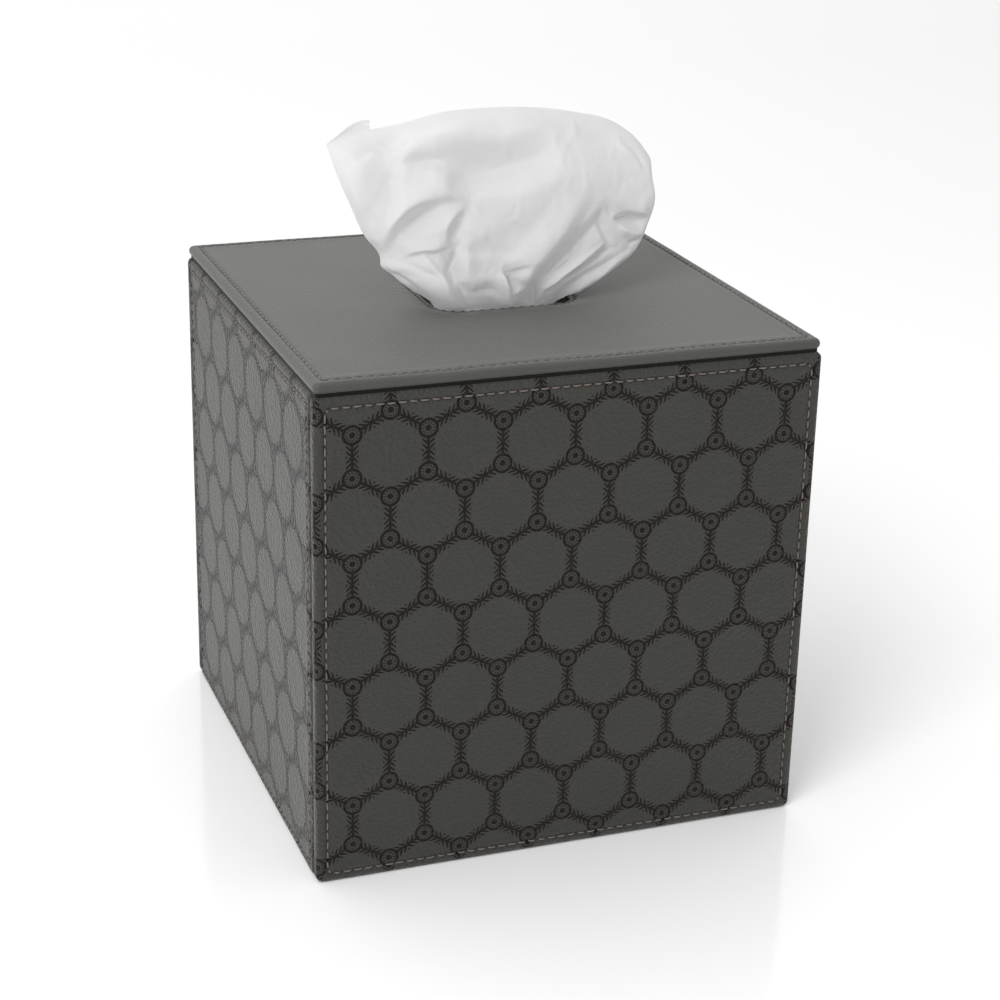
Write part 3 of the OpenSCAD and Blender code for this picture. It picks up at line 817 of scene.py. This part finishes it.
# Folds of the front: route in the photograph's pixels, then in millimetres the height at its start,
# middle and end, the reach to the left and right of the way it runs, and how round its crest is
FRONT_FOLDS_PX = {
    "strip edge": ([(364, 134), (359, 158), (361, 180), (366, 200), (373, 222), (380, 243)],
     (0.3, 2.6, 0.5), (6.5, 9), 0.25),
    "strip floor": ([(405, 148), (398, 160), (391, 176), (389, 190), (390, 203), (386, 222), (381, 242)],
     (-0.8, -3.2, -0.8), (3, 7), 0.1),
    "rim crease": ([(358, 162), (363, 156), (370, 150), (384, 146), (396, 144.5), (410, 140)],
     (-0.4, -2.3, -0.3), (5.5, 1.4), 0.05),
    "roll": ([(391, 178), (397, 166), (404, 154), (414, 146), (430, 142), (455, 136), (485, 131)],
     (0.2, 2.6, 0.6), (3.5, 2.8), 0.25),
    "rim roll": ([(425, 141), (450, 134), (480, 129), (520, 126), (565, 129)],
     (0.6, 1.8, 0.2), (4, 5), 0.5),
    "roll crease": ([(404, 165), (411, 160), (425, 158.5), (445, 159)],
     (-0.2, -2.2, -0.5), (1.2, 3), 0.05),
    "band valley": ([(436, 160), (462, 164), (490, 165), (515, 162), (538, 156), (558, 148)],
     (-0.6, -5.5, -0.5), (4.5, 6), 0.3),
    "facet": ([(447, 166), (441, 182), (438, 198)], (0.2, 0.9, 0.3), (4, 5), 0.12),
    "mid valley": ([(472, 165), (475, 180), (475, 195), (472, 212), (466, 228)],
     (-0.8, -3.6, -1.4), (12, 6), 0.3),
    "pouch arc": ([(438, 199), (425, 200.5), (412, 206), (400, 216), (390, 230), (384, 242), (381, 252)],
     (0.3, 2.4, 0.6), (2, 5), 0.15),
    "pouch shade": ([(464, 206), (447, 203.5), (432, 207.5), (418, 214), (406, 223), (399, 233),
     (396, 244)], (-0.4, -2.9, -0.4), (5, 1.6), 0.15),
    "pouch edge": ([(464, 208), (455, 217), (447, 228), (446, 238), (448, 246)],
     (0.2, 1.6, 0.8), (1.2, 5), 0.08),
    "pouch gap": ([(470, 213), (458, 228), (454, 240)], (-0.4, -2, -1), (2.5, 1.5), 0.3),
    "lens": ([(404, 256), (420, 251.5), (432, 250.5), (447, 246.5)], (0.2, 1.7, 0.4), (3.2, 0.7), 0.08),
    "pleat edge": ([(420, 252), (430, 262.5), (441, 275), (453, 291), (464, 308)],
     (0.4, 3, 2), (1, 6), 0.05),
    "pleat floor": ([(447, 252), (450, 265), (457, 285), (465, 302)], (-0.8, -3.2, -1.2), (3, 2), 0.2),
    "wedge": ([(461, 241), (455, 256), (448, 274)], (-0.6, -1.8, -0.2), (0.5, 1.2), 0.05),
    "wedge edge": ([(461, 240), (466, 250), (467, 265), (466, 285)], (0.3, 1.3, 0.2), (3.5, 1), 0.08),
    "belly crease": ([(467, 250), (480, 251.5), (493, 253)], (-0.2, -0.7, 0), (2.5, 2), 0.05),
    "belly arch": ([(481, 243), (479, 218), (484, 198), (499, 184), (523, 177), (550, 176), (577, 183)],
     (0.2, 1, 0.4), (5, 12), 0.9),
    "patch": ([(503, 248), (516, 237), (540, 216)], (-1, -0.9, 0), (4, 3), 0.8),
    "patch foot": ([(497, 256.5), (512, 258.5), (529, 257)], (0, 0.5, 0), (1, 2.5), 0.2),
    "dent cliff": ([(502, 273), (507, 290), (511, 306)], (0.3, 1.8, 1.2), (0.8, 4), 0.05),
    "dent floor": ([(507, 276), (512, 293)], (-1.4, -3.4, -0.8), (4.5, 0.5), 0.1),
    "dent top": ([(505, 274), (515, 271), (529, 266)], (-0.2, -0.9, -0.1), (0.8, 2), 0.1),
    "main ridge": ([(585, 190), (572, 213), (557, 234), (545, 250), (532, 265), (519, 282), (511, 297)],
     (0.2, 2.6, 1.2), (3, 5), 0.35),
    "main valley": ([(601, 219), (590, 232), (578, 246), (562, 262), (548, 275), (535, 289), (526, 300)],
     (-0.9, -2.3, -1), (3.5, 3), 0.12),
    "stripe": ([(607, 240), (590, 254), (572, 268), (556, 281), (545, 290)],
     (0.1, 1.1, 0.5), (0.9, 0.8), 0.1),
    "short stripe": ([(577, 254), (565, 263), (553, 273)], (0, 0.8, 0.2), (0.6, 0.7), 0.1),
    "roll valley": ([(612, 247), (595, 260), (577, 272), (561, 283), (549, 293)],
     (-0.3, -1.7, -0.7), (0.8, 1.5), 0.05),
    "low roll": ([(634, 251), (620, 259), (601, 271), (582, 281), (565, 291), (552, 301)],
     (0.5, 2, 1), (3.5, 1.2), 0.35),
    "streak": ([(572, 180), (592, 187), (610, 196), (625, 203), (638, 209)], (0, 0.6, 1.2), (5, 3), 0.2),
    "upper shade": ([(575, 131), (598, 136), (620, 143)], (0, -0.8, -0.2), (3, 2.5), 0.3),
    "right dent": ([(613, 219), (626, 215), (643, 217)], (-0.2, -3.2, -2.2), (0.7, 3.6), 0.06),
    "right fold": ([(613, 220), (625, 229), (640, 234)], (0.2, 1.1, 0.4), (1.3, 2), 0.1),
    "small dent": ([(628, 244), (636, 240), (643, 236)], (-0.1, -1.2, -0.5), (0.9, 0.9), 0.1),
    "apex": ([(601, 218), (606, 232), (612, 246)], (-0.8, -1.4, -0.2), (2.5, 1.5), 0.2),
    "right crease": ([(604, 198), (608, 209), (612, 219)], (0, -0.8, -0.1), (1.5, 0.5), 0.05),
    "spot": ([(628, 143), (626, 156)], (0, 0.5, 0), (2.5, 2), 0.4),
    "lobe": ([(620, 140), (636, 152), (646, 170)], (0, -0.8, 0), (1.4, 1), 0.1),
    "low shade": ([(472, 291), (490, 291), (505, 290)], (0, -0.9, 0), (3, 1.5), 0.3),
    "left hem": ([(382, 262), (395, 268), (412, 278), (430, 292)], (0.2, 0.9, 0.2), (3.5, 1.2), 0.1),
    "left crease": ([(388, 257), (405, 263), (424, 270), (438, 276)], (0, -0.5, 0), (1, 1.2), 0.05),
    "neck fold": ([(536, 288), (537, 304)], (-0.3, -1.4, -1), (0.8, 0.5), 0.05),
}


def spline(points, t):
    """Smooth curve through points, even by length for t from 0 to 1."""
    p = np.asarray(points, float)
    gaps = np.linalg.norm(np.diff(p, axis=0), axis=1)
    knots = np.concatenate([[0], np.cumsum(gaps)]) / gaps.sum()
    slopes = np.gradient(p, knots, axis=0)
    k = np.clip(np.searchsorted(knots, t, side="right") - 1, 0, len(p) - 2)
    h = (knots[k + 1] - knots[k])[:, None]
    s = (t - knots[k])[:, None] / h
    return ((2 * s**3 - 3 * s**2 + 1) * p[k] + (s**3 - 2 * s**2 + s) * h * slopes[k]
            + (3 * s**2 - 2 * s**3) * p[k + 1] + (s**3 - s**2) * h * slopes[k + 1])


def camera_turn():
    """The camera's rotation: its right, up and backward directions are the columns."""
    turn = Matrix.Rotation(math.radians(-CAMERA_AZIMUTH), 3, "Z")
    turn = turn @ Matrix.Rotation(math.radians(90 - CAMERA_DROP), 3, "X")
    return turn @ Matrix.Rotation(math.radians(CAMERA_ROLL), 3, "Z")


def placed(outline_px):
    """Points on the rays of (pixel x, pixel y, depth): where each ray reaches that depth y."""
    px, py, depth = np.array(outline_px, float).T
    focal = FRAME_PX * CAMERA_LENS / CAMERA_SENSOR
    local = np.stack([(px - FRAME_PX / 2) / focal, (FRAME_PX / 2 - py) / focal, -np.ones(len(px))], 1)
    rays = local @ np.array(camera_turn()).T
    return CAMERA_AT + rays * ((depth - CAMERA_AT[1]) / rays[:, 1])[:, None]


def pixels_of(points):
    """Where in the photograph's frame the camera sees points given in millimetres."""
    local = (points - CAMERA_AT) @ np.array(camera_turn())
    focal = FRAME_PX * CAMERA_LENS / CAMERA_SENSOR
    return FRAME_PX / 2 + focal * np.stack([local[:, 0], -local[:, 1]], 1) / -local[:, 2:]


def fold_relief(spots, route, heights, widths, roundness):
    """Height that a fold adds at flat spots: along its route as given, falling off to both sides."""
    path = spline(route, np.linspace(0, 1, 17))
    reach = 2 * max(widths)
    near = np.flatnonzero(((spots > path.min(0) - reach) & (spots < path.max(0) + reach)).all(1))
    start, step = path[:-1], np.diff(path, axis=0)
    length = (step**2).sum(1)
    t = np.clip(((spots[near, None] - start) * step).sum(2) / length, 0, 1)
    gap = spots[near, None] - (start + t[..., None] * step)
    distance = np.linalg.norm(gap, axis=2)
    nearest = distance.argmin(1)
    row = np.arange(len(near))
    gap, distance, t = gap[row, nearest], distance[row, nearest], (nearest + t[row, nearest]) / len(step)
    crossing = step[nearest, 0] * gap[:, 1] - step[nearest, 1] * gap[:, 0]
    leftness = 0.5 + 0.5 * crossing / np.maximum(np.sqrt(length[nearest]) * distance, 1e-9)
    width = widths[1] + (widths[0] - widths[1]) * leftness
    first, middle, last = heights
    height = first * (1 - t) * (1 - 2 * t) + 4 * middle * t * (1 - t) + last * t * (2 * t - 1)
    slope = 1 + roundness - np.hypot(distance / width, roundness)
    foot = np.where(slope < FOLD_FOOT, np.clip(slope + FOLD_FOOT, 0, None) ** 2 / (4 * FOLD_FOOT), slope)
    relief = np.zeros(len(spots))
    relief[near] = height * foot
    return relief


def crumple(spots, seed, size):
    """An uneven field of about -1 to 1 with soft creases between its facets."""
    push = np.column_stack([waves(spots, seed + k, 2 * size) for k in (50, 51)])
    bent = spots + 0.5 * size * push
    return 1.6 * np.hypot(waves(bent, seed, 2 * size), 0.15) - 1 + 0.5 * waves(bent, seed + 1, size)


def softened(relief, passes):
    """A grid of heights with its sharpest creases rounded a little."""
    for _ in range(passes):
        for axis in (0, 1):
            padded = np.pad(relief, [(1, 1) if k == axis else (0, 0) for k in (0, 1)], mode="edge")
            relief = (np.delete(padded, (-2, -1), axis) + 2 * relief + np.delete(padded, (0, 1), axis)) / 4
    return relief


def grid_normals(grid):
    """Unit normals of a grid of points, towards -Y where its columns run to the right and its rows up."""
    normal = np.cross(np.gradient(grid, axis=1), np.gradient(grid, axis=0))
    return normal / np.maximum(np.linalg.norm(normal, axis=2, keepdims=True), 1e-9)


def puff_side(neck, left_edge, rim, right_side, swell, facing, columns):
    """Rows of points of the puff's front or back, from the neck up to the rim."""
    u, v = np.linspace(0, 1, columns), np.linspace(0, 1, TISSUE_ROWS)
    bottom, top = spline(neck, u), rim(u)
    left, right = spline(left_edge, v), spline(right_side, v)
    left += (1 - v)[:, None] * (bottom[0] - left[0]) + v[:, None] * (top[0] - left[-1])
    across, up = u[None, :, None], v[:, None, None]
    grid = (1 - up) * bottom + up * top + (1 - across) * left[:, None] + across * right[:, None]
    grid -= (1 - across) * ((1 - up) * bottom[0] + up * top[0])
    grid -= across * ((1 - up) * bottom[-1] + up * top[-1])
    side_power = SIDE_POWER - RIGHT_FULLNESS * np.clip(across - 0.5, 0, None)
    fullness = np.sin(math.pi * across) ** side_power
    rise = SWELL_SCALE * (1 - up) ** SWELL_TOP_POWER * up ** SWELL_LOW_POWER * fullness
    grid[..., 1] += facing * swell * rise[..., 0]
    return grid


def drawn_in(grid):
    """Points near the lid's level drawn in from the opening's edge, so that the neck passes through it."""
    centre, half = mouth_place()
    lip = (node_size("lid_leather")[1][2] - MOUTH_DIP) / MM
    amount = grown(lip + NECK_FREE_ABOVE - grid[..., 2], NECK_BLEND).reshape(-1)
    plan = grid[..., :2].reshape(-1, 2) - centre / MM
    for _ in range(3):
        past = np.clip(from_outline(plan * MM, *half, MOUTH_R) / MM + NECK_GAP, 0, None)
        plan -= plan / np.linalg.norm(plan, axis=1, keepdims=True) * (past * amount)[:, None]
        amount = np.where(amount < 1, 0, amount)
    grid[..., :2] = (plan + centre / MM).reshape(*grid.shape[:2], 2)


def tissue(material):
    """The drawn tissue as one open sheet: a pleated tail in the carton, a gathered neck and a puff."""
    tail_z = node_size("tissue_sheet")[0][2] / MM
    flap_columns = round(FLAP * (TISSUE_COLUMNS - 1))
    rim, right_side = placed(RIM_PX), placed(RIGHT_SIDE_PX)
    front = puff_side(placed(NECK_FRONT_PX), placed(LEFT_EDGE_PX), lambda u: spline(rim, u), right_side,
                      FRONT_SWELL, -1, TISSUE_COLUMNS)
    back = puff_side(NECK_BACK, BACK_EDGE, lambda u: spline(rim, FLAP + (1 - FLAP) * u), right_side,
                     BACK_SWELL, 1, TISSUE_COLUMNS - flap_columns)

    spots = front[..., [0, 2]].reshape(-1, 2)
    view = pixels_of(front.reshape(-1, 3))
    relief = np.zeros(len(spots))
    for route_px, heights, widths, roundness in FRONT_FOLDS_PX.values():
        nearest = [((view - pixel) ** 2).sum(1).argmin() for pixel in route_px]
        relief += fold_relief(spots, spots[nearest], heights, widths, roundness)
    relief = relief.reshape(front.shape[:2])
    up = np.linspace(0, 1, TISSUE_ROWS)[:, None]
    across = np.linspace(0, 1, TISSUE_COLUMNS)[None]
    for height, seed, size in FRONT_CRUMPLES:
        relief += height * crumple(spots, seed, size).reshape(relief.shape)
    relief *= grown(1 - up, 0.05) * grown(1 - across, 0.05) * grown(across, 0.03)
    # Folds that would push the neck out over the opening's edge stay low there
    relief = np.minimum(softened(relief, 2), NECK_RELIEF + NECK_RELIEF_GAIN * up)
    front += grid_normals(front) * relief[..., None]
    drawn_in(front)

    spots = back[..., [0, 2]].reshape(-1, 2)
    angle = np.linspace(0, 1, back.shape[1])[None]
    pleats = np.cos(2 * math.pi * BACK_PLEATS * angle + 2 * np.sin(5 * angle))
    relief = BACK_PLEAT_DEPTH * pleats * np.clip(1 - up * 1.6, 0, 1) * grown(up, 0.06)
    for height, seed, size in BACK_WAVES:
        relief += height * waves(spots, seed, size).reshape(relief.shape)
    relief *= grown(1 - up, 0.12) * grown(1 - angle, 0.08) * grown(up, 0.04)
    back -= grid_normals(back) * relief[..., None]
    drawn_in(back)

    # The tail hangs from the neck's ring: front from left to right, then back from right to left
    ring = np.concatenate([front[0], back[0][::-1][1:]])
    share = np.linspace(0, 1, len(ring))
    centre = ring.mean(0)
    outward = ring - centre
    outward[:, 2] = 0
    outward /= np.linalg.norm(outward, axis=1, keepdims=True)
    tail = []
    for s in np.linspace(0, 1, TAIL_ROWS + 1)[1:]:
        wave = np.cos(2 * math.pi * TAIL_PLEATS * share + TAIL_TWIST * s)
        pleat = TAIL_PLEAT_DEPTH * min(1, s * 5) * (0.5 - 0.5 * wave)
        row = centre + (ring - centre) * (1 - TAIL_TAPER * s)
        row[:, 2] = ring[:, 2] + (tail_z - ring[:, 2]) * s
        tail.append(row - outward * pleat[:, None])

    # The rim's free left end curls back
    flap = []
    end = front[-1, :flap_columns + 1]
    swing = np.sin(math.pi * np.linspace(0, 1, flap_columns + 1) ** 1.3 * 0.72)
    for s in np.linspace(0, 1, FLAP_ROWS + 1)[1:]:
        turn = s * FLAP_TURN
        curl = np.array(FLAP_CURL) * [s, math.sin(turn), 1 - math.cos(turn)]
        flap.append(end + swing[:, None] * curl)

    # The four grids are numbered in turn, and joined where they meet
    grids = [front, back[:-1], np.array(tail), np.array(flap)]
    points = np.concatenate([grid.reshape(-1, 3) for grid in grids]) * MM
    numbers = np.split(np.arange(len(points)), np.cumsum([grid[..., 0].size for grid in grids])[:-1])
    numbers = [number.reshape(grid.shape[:2]) for number, grid in zip(numbers, grids)]
    index, back_index, tail_index, flap_index = numbers
    back_index = np.concatenate([back_index, index[-1:, flap_columns:]])
    back_index[:, -1] = index[:, -1]
    ring_index = np.concatenate([index[0], back_index[0][::-1][1:]])
    tail_index = np.concatenate([ring_index[None], tail_index])
    flap_index = np.concatenate([index[-1:, :flap_columns + 1], flap_index])
    faces = [sheet_faces(index), sheet_faces(back_index)[:, ::-1], sheet_faces(tail_index)[:, ::-1],
             sheet_faces(flap_index)]
    faces = np.concatenate(faces).tolist()
    piece = add_piece("tissue_drawn", points, faces, material)
    remove_loose(piece)
    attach(piece, "tissue")
    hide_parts("tissue_sheet")


def sheet_faces(index):
    """Quads of a grid whose points have the given numbers."""
    a, b, c, d = index[:-1, :-1], index[:-1, 1:], index[1:, 1:], index[1:, :-1]
    return np.stack([a, b, c, d], 2).reshape(-1, 4)


def remove_loose(piece):
    """Deletes points that no face uses."""
    edit = bmesh.new()
    edit.from_mesh(piece.data)
    loose = [vertex for vertex in edit.verts if not vertex.link_faces]
    bmesh.ops.delete(edit, geom=loose, context="VERTS")
    edit.to_mesh(piece.data)
    edit.free()


def stack(material):
    """The folded tissues in the carton: rounded folds at front and back, cut edges at the ends."""
    low, high = node_size("tissue_stack")
    layer = (high[2] - low[2]) / STACK_LAYERS
    draw = np.random.default_rng(9)
    bend = np.radians(np.linspace(-75, 75, 5))
    profile = []
    for k in range(2 * STACK_LAYERS):
        facing, level = (1, k) if k < STACK_LAYERS else (-1, 2 * STACK_LAYERS - 1 - k)
        out = high[1] - layer * draw.uniform(0.5, 1)
        across = facing * (out + 0.5 * layer * (np.cos(bend) - 1))
        up = low[2] + layer * (level + 0.5) + facing * 0.48 * layer * np.sin(bend)
        profile.append(np.stack([across, up], 1))
    profile = np.concatenate(profile)
    rings = []
    depth, level = profile.T
    for x in np.linspace(low[0], high[0], STACK_STATIONS):
        along = np.full(len(profile), x)
        sway = 0.3 * MM * waves(np.column_stack([along, level]), 12, 40 * MM)
        rings.append(np.column_stack([along, depth - np.sign(depth) * np.abs(sway), level]))
    count = len(profile)
    faces = loft_faces(STACK_STATIONS, count).tolist()
    first, last = np.arange(count // 2), (STACK_STATIONS - 1) * count
    ends = np.stack([first[:-1], first[1:], count - 2 - first[:-1], count - 1 - first[:-1]], 1)
    faces += ends.tolist() + (last + ends[:, ::-1]).tolist()
    piece = add_piece("tissue_stack_folds", np.concatenate(rings), faces, material)
    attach(piece, "refill")
    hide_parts("tissue_stack")


# Stage
def camera():
    """The photograph's view of the box."""
    data = bpy.data.cameras.new("camera")
    data.lens = CAMERA_LENS
    data.sensor_width = CAMERA_SENSOR
    view = bpy.data.objects.new("camera", data)
    view.matrix_world = Matrix.Translation(Vector(CAMERA_AT * MM)) @ camera_turn().to_4x4()
    bpy.context.collection.objects.link(view)
    bpy.context.scene.camera = view


def softbox():
    """A square area light from the left and in front, which looks at the box."""
    data = bpy.data.lights.new("key", "AREA")
    data.size = KEY_SIZE
    data.energy = KEY_POWER
    lamp = bpy.data.objects.new("key", data)
    lamp.location = KEY_AT
    lamp.rotation_euler = (Vector(KEY_AIM) - Vector(KEY_AT)).to_track_quat("-Z", "Y").to_euler()
    bpy.context.collection.objects.link(lamp)


def studio():
    """White floor with a faint sheen, a surround brightest behind the box, and the soft light."""
    material, tree, shader = new_material("white_floor")
    grain = noise(place(tree), 0.3, 2)
    settle(shader, Base_Color=mixed(grain, (0.9, 0.9, 0.9, 1), (0.92, 0.92, 0.92, 1)), Roughness=0.12)
    corners = [(x * FLOOR_REACH, y * FLOOR_REACH, 0) for x, y in ((-1, -1), (1, -1), (1, 1), (-1, 1))]
    floor = add_piece("floor", corners, [[0, 1, 2, 3]], material)
    floor.location.z = -FLOOR_DROP
    world = bpy.data.worlds.new("studio")
    world.use_nodes = True
    tree = world.node_tree
    side, depth, height = parts(node_field(tree, "TexCoord", {}, "Generated"))
    glow = SURROUND_FRONT + ramp(depth, -0.5, 0.6) * (SURROUND_BACK - SURROUND_FRONT)
    glow = glow + ramp(height, 0.2, 0.9) * SURROUND_TOP - ramp(side, 0.1, 0.8) * SURROUND_RIGHT_LOSS
    settle(tree.nodes["Background"], Color=(1, 1, 1, 1), Strength=glow)
    bpy.context.scene.world = world
    softbox()
    bpy.context.scene.view_settings.view_transform = "Standard"


def repaint(material, *nodes):
    """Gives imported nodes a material."""
    for node in nodes:
        mesh = frame["nodes"][node].data
        mesh.materials.clear()
        mesh.materials.append(material)


camera()
studio()

wall_leather = leather("printed_leather", (0.0345, 0.0335, 0.0285), True, 1.0 * MM, 0.5 * MM)
lid_leather = leather("plain_leather", (0.064, 0.063, 0.0585), False, 0.7 * MM, 0.13 * MM)
wall_thread = thread("wall_thread", (0.17, 0.137, 0.127))
lid_thread = thread("lid_thread", (0.17, 0.16, 0.138))
board = card("board", (0.45, 0.36, 0.26), 0.8, 0.85)
lining = suede("suede", (0.03, 0.028, 0.026))
felt = suede("felt", (0.03, 0.03, 0.03), 0.9)
covered_card = card("covered_card", (0.07, 0.068, 0.064), 0.6)
carton_card = card("carton_card", (0.72, 0.72, 0.7), 0.7, 0.5)
paper = tissue_paper("tissue_paper")

for side, angle in (("front", 0), ("back", 180), ("left", 270), ("right", 90)):
    wall(side, angle, wall_leather, wall_thread)
    repaint(board, f"{side}_panel_board")
    repaint(lining, f"{side}_panel_lining")
lid(lid_leather, lid_thread)
tissue(paper)
repaint(board, "base_board", "lid_board")
repaint(felt, "base_felt")
repaint(lining, "floor_lining")
# The lid's lining is black suede, made darker still so that the thin gap between the lid and the walls
# shows as painted shadow.
repaint(suede("black_suede_and_gap_shade", (0.006, 0.0058, 0.0055)), "lid_lining")
repaint(covered_card, "lid_locating_frame")
repaint(carton_card, "refill_carton")
stack(paper)
